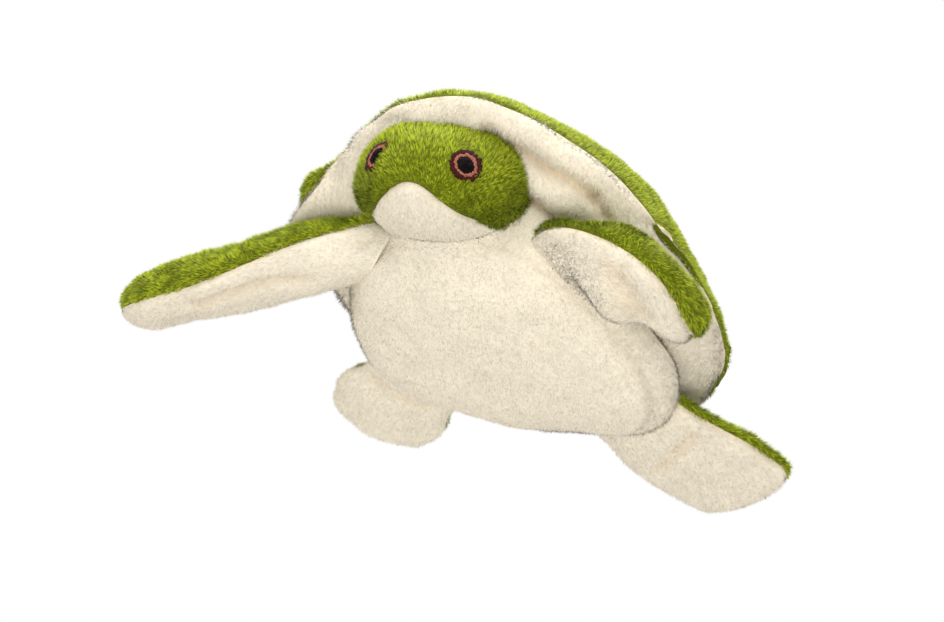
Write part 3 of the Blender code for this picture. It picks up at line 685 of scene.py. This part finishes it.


# Flippers: each a green top and a cream underside, padded round a bent middle line and sewn
# together along the rim. Their roots run on into the body.

def flipper_form(name, bend, tip, tip_line, chords, thicks, sewn_on=(0, 0, 0)):
    """The flipper's surface at a share t along it and an angle round it. Chords and thicks are
    its half width and half thickness at root and middle; sewn_on shifts the cloth's own root
    from the joint's centre."""
    joint = next(j for j in frame["joints"] if j["name"] == name + "_flap")
    root, root_line = np.array(joint["pos_m"]), unit(np.array(joint["axis"]))
    bend, tip, tip_line = root + np.array(bend), root + np.array(tip), unit(np.array(tip_line))
    length = np.linalg.norm(bend - root) + np.linalg.norm(tip - bend)
    out, first, second = unit(bend - root), (root + bend) / 2, (tip + bend) / 2
    base = root + np.array(sewn_on)

    def at(t, turn):
        t, turn = (given[..., None] for given in np.broadcast_arrays(t, turn))
        curve = (base * (1 - t) ** 3 + first * 3 * t * (1 - t) ** 2
                 + second * 3 * t ** 2 * (1 - t) + tip * t ** 3)
        middle = np.where(t < 0, base + out * t * length, curve)
        held = np.clip(t, 0, 1)
        along = unit((bend - root) * (1 - ease(held)) + (tip - bend) * ease(held))
        chord_line = unit(root_line * (1 - ease(held / 0.7)) + tip_line * ease(held / 0.7))
        top = unit(np.cross(along, chord_line))
        top = top * np.where(top[..., 2:] > 0, 1, -1)
        swell = ease(held / 0.4)
        taper = 1 - 0.22 * (np.maximum(0, held - 0.45) / 0.55) ** 1.5
        rounding = np.sqrt(np.clip(1 - (np.maximum(0, held - 0.8) / 0.2) ** 2, 0, 1))
        chord = (chords[0] + (chords[1] - chords[0]) * swell) * taper * rounding
        thick = (thicks[0] + (thicks[1] - thicks[0]) * swell) * taper * rounding ** 0.8
        return middle - chord_line * chord * np.cos(turn) + top * thick * np.sin(turn)

    way = 1 if np.cross(bend - root, root_line)[2] > 0 else -1
    return at, length, way, (root - out * 0.002, root + out * 0.022)


def clear_of_head(points, spare=0.0008):
    """Press a flipper's root aside where the head's ball lies against it."""
    offset = points - neck
    beside = offset @ head_side
    across = unit(offset - beside[..., None] * head_side)
    near = np.abs(beside) < head_half_width
    inside = np.where(near, np.maximum(inside_head(points, spare), 0), 0)
    return points + across * inside[..., None]


half_round = 60


def flipper(name, seed, form, seam, folds=(), puffs=()):
    """One flipper. Seam shifts its leading seam by an angle at root and tip, folds are creases
    (path, reach, depth) and puffs are fuller or slacker places (place, reach, height)."""
    at, length, way, hinge = form
    t = np.concatenate([np.linspace(-0.012 / length, 0, 6)[:-1],
                        1 - (1 - np.linspace(0, 1, 90)) ** 1.5])[:, None]
    shift = seam[0] + (seam[1] - seam[0]) * np.clip(t, 0, 1)
    upper = -shift + (math.pi + shift) * np.linspace(0, 1, half_round)[None, :]
    lower = math.pi + (math.pi - shift) * np.linspace(0, 1, half_round)[None, 1:-1]
    points = at(t, np.concatenate([upper, lower], 1))
    normals = skin_normals(points, True, way)
    pull = np.zeros(points.shape[:-1])
    for column in (0, half_round - 1):
        gap = np.linalg.norm(points - points[:, column:column + 1], axis=-1)
        pull = np.maximum(pull, np.exp(-(gap / 0.0018) ** 2))
    uneven = 0.0007 * ripple(points, 0.016, seed) + 0.0003 * ripple(points, 0.007, seed + 1)
    # Painted shade along the rim seam and, below, in the folds.
    crease = 0.7 * pull
    for path, reach, depth in folds:
        near = near_line(points, path, reach)
        uneven = uneven - depth * near
        crease = np.maximum(crease, 0.5 * near)
    for place, reach, height in puffs:
        gap = np.linalg.norm(points - np.array(place), axis=-1)
        uneven = uneven + height * np.exp(-(gap / reach) ** 2)
    lift = uneven * (1 - pull) - 0.0010 * pull - skin_inset
    points = points + normals * lift[..., None]
    points[..., 2] = np.maximum(points[..., 2], resting_gap)
    points = clear_of_head(points)
    joined = np.concatenate([points, points[:, :1]], 1), np.concatenate([crease, crease[:, :1]], 1)
    for part, plush, columns, nodes in (
            ("top", green_plush, slice(0, half_round), (name + "_top", name + "_stuffing")),
            ("underside", cream_plush, slice(half_round - 1, None), (name + "_underside",))):
        cloth = joined[0][:, columns]
        dress(name + "_" + part + "_plush", plush, cloth, False, joined[1][:, columns], seed + 3,
              name, nodes, np.gradient(cloth, axis=0), 3.4e6, side=way, blend=hinge)
        seed += 10


# The right front flipper is stretched out, with a long crease along its underside. The left
# one is bent back under the shell's edge and dented there.
flipper("front_right_flipper", 101, flipper_form(
            "front_right_flipper", (-0.0585, 0.0081, -0.0052), (-0.118, 0.0341, -0.0079),
            (-0.21, 0.78, 0.6), (0.0185, 0.0227), (0.0150, 0.0134), (0.0, -0.0018, 0.0028)),
        (0.08, -0.02),
        folds=[(((-0.1160, -0.0300, 0.0020), (-0.0998, -0.0360, 0.0035), (-0.0784, -0.0421, 0.0075),
                 (-0.0626, -0.0426, 0.0117), (-0.0492, -0.0466, 0.0155),
                 (-0.0364, -0.0558, 0.0208)), 0.0028, 0.0028)],
        puffs=[((-0.0624, -0.0520, 0.0135), 0.012, 0.0018)])
flipper("front_left_flipper", 201, flipper_form(
            "front_left_flipper", (0.036, -0.0334, -0.0040), (0.0445, 0.0137, -0.0165),
            (-0.16, 0.97, 0.18), (0.023, 0.022), (0.008, 0.0125)),
        (0.10, 0.12),
        folds=[(((0.0700, -0.0600, 0.0060), (0.0739, -0.0511, 0.0036),
                 (0.0764, -0.0423, 0.0036)), 0.0055, 0.0024)],
        puffs=[((0.0650, -0.0380, 0.0070), 0.011, 0.0070),
               ((0.0500, -0.0500, 0.0150), 0.009, 0.0028)])

# The rear flippers are shorter, flat paddles with a shallow crease each.
flipper("rear_right_flipper", 301, flipper_form(
            "rear_right_flipper", (-0.0195, 0.0153, -0.0013), (-0.0260, 0.0288, -0.0013),
            (0.84, 0.54, -0.09), (0.021, 0.0245), (0.007, 0.009)),
        (-0.35, -0.3),
        folds=[(((-0.0646, 0.0277, 0.0130), (-0.0540, 0.0372, 0.0107), (-0.0431, 0.0437, 0.0116)),
                0.0025, 0.0020)])
flipper("rear_left_flipper", 401, flipper_form(
            "rear_left_flipper", (0.0174, 0.0241, -0.0049), (0.0386, 0.0522, 0.0000),
            (-0.87, 0.44, -0.21), (0.0264, 0.0272), (0.007, 0.009)),
        (0.34, 0.36),
        folds=[(((0.0690, 0.0500, 0.0105), (0.0583, 0.0597, 0.0067), (0.0485, 0.0698, 0.0055)),
                0.0024, 0.0020)])


# Floor: pale, seen only from above. From below and for the lamps it isn't there, because the
# photograph looks up at the belly.

def greatest(tree, a, b):
    """The greater of two sockets' values."""
    node = tree.nodes.new("ShaderNodeMath")
    node.operation = "MAXIMUM"
    link(tree, a, node.inputs[0])
    link(tree, b, node.inputs[1])
    return node.outputs[0]


def mix_shaders(tree, factor, a, b, output):
    node = tree.nodes.new("ShaderNodeMixShader")
    for given, socket in zip((factor, a, b), node.inputs):
        link(tree, given, socket)
    link(tree, node.outputs[0], tree.nodes[output].inputs["Surface"])


bpy.ops.mesh.primitive_plane_add(size=4)
floor = bpy.context.object
floor.name = "floor"
pale = bpy.data.materials.new("pale_floor")
pale.use_nodes = True
tree = pale.node_tree
shader = tree.nodes["Principled BSDF"]
shader.inputs["Base Color"].default_value = (0.86, 0.86, 0.85, 1)
shader.inputs["Roughness"].default_value = 0.8
clear = tree.nodes.new("ShaderNodeBsdfTransparent")
ray = tree.nodes.new("ShaderNodeLightPath").outputs
face = tree.nodes.new("ShaderNodeNewGeometry").outputs
unseen = greatest(tree, greatest(tree, ray["Is Shadow Ray"], ray["Is Diffuse Ray"]),
                  face["Backfacing"])
mix_shaders(tree, unseen, shader.outputs[0], clear.outputs[0], "Material Output")
floor.data.materials.append(pale)


# Light: a warm white surround that looks plain white itself, one large soft lamp up beside the
# camera, one below it for the belly and one overhead.

world = bpy.data.worlds.new("studio")
bpy.context.scene.world = world
world.use_nodes = True
tree = world.node_tree
seen = tree.nodes["Background"]
seen.inputs["Color"].default_value = (1, 1, 1, 1)
fill = tree.nodes.new("ShaderNodeBackground")
fill.inputs["Color"].default_value = (1.0, 0.97, 0.925, 1)
fill.inputs["Strength"].default_value = 0.86
ray = tree.nodes.new("ShaderNodeLightPath").outputs
direct = greatest(tree, greatest(tree, ray["Is Camera Ray"], ray["Is Glossy Ray"]),
                  ray["Is Transmission Ray"])
mix_shaders(tree, direct, fill.outputs[0], seen.outputs[0], "World Output")


def lamp(name, place, size, power, aim=(0, 0, 0.04)):
    bpy.ops.object.light_add(type="AREA", location=place)
    made = bpy.context.object
    made.name = name
    made.data.size = size
    made.data.energy = power
    heading = np.array(aim) - np.array(place)
    made.rotation_euler = (math.atan2(math.hypot(heading[0], heading[1]), -heading[2]), 0,
                           math.atan2(-heading[0], heading[1]))


lamp("key", (0.15, -1.1, 0.35), 0.7, 4.8)
lamp("front", (0.30, -0.60, -1.05), 0.9, 5.4)
lamp("overhead", (0.0, -0.3, 1.1), 0.9, 12)


# Camera: below and to the turtle's front left, rolled as the photograph is, with a long lens
# from about 1.2 m away.

bpy.ops.object.camera_add(location=(0.50883, -0.88132, -0.5899),
                          rotation=(2.14367, -0.30242, 0.34621))
camera = bpy.context.object
camera.data.sensor_width = 36
camera.data.lens = 117.17
camera.data.clip_start = 0.01
bpy.context.scene.camera = camera
bpy.context.scene.view_settings.view_transform = "Standard"
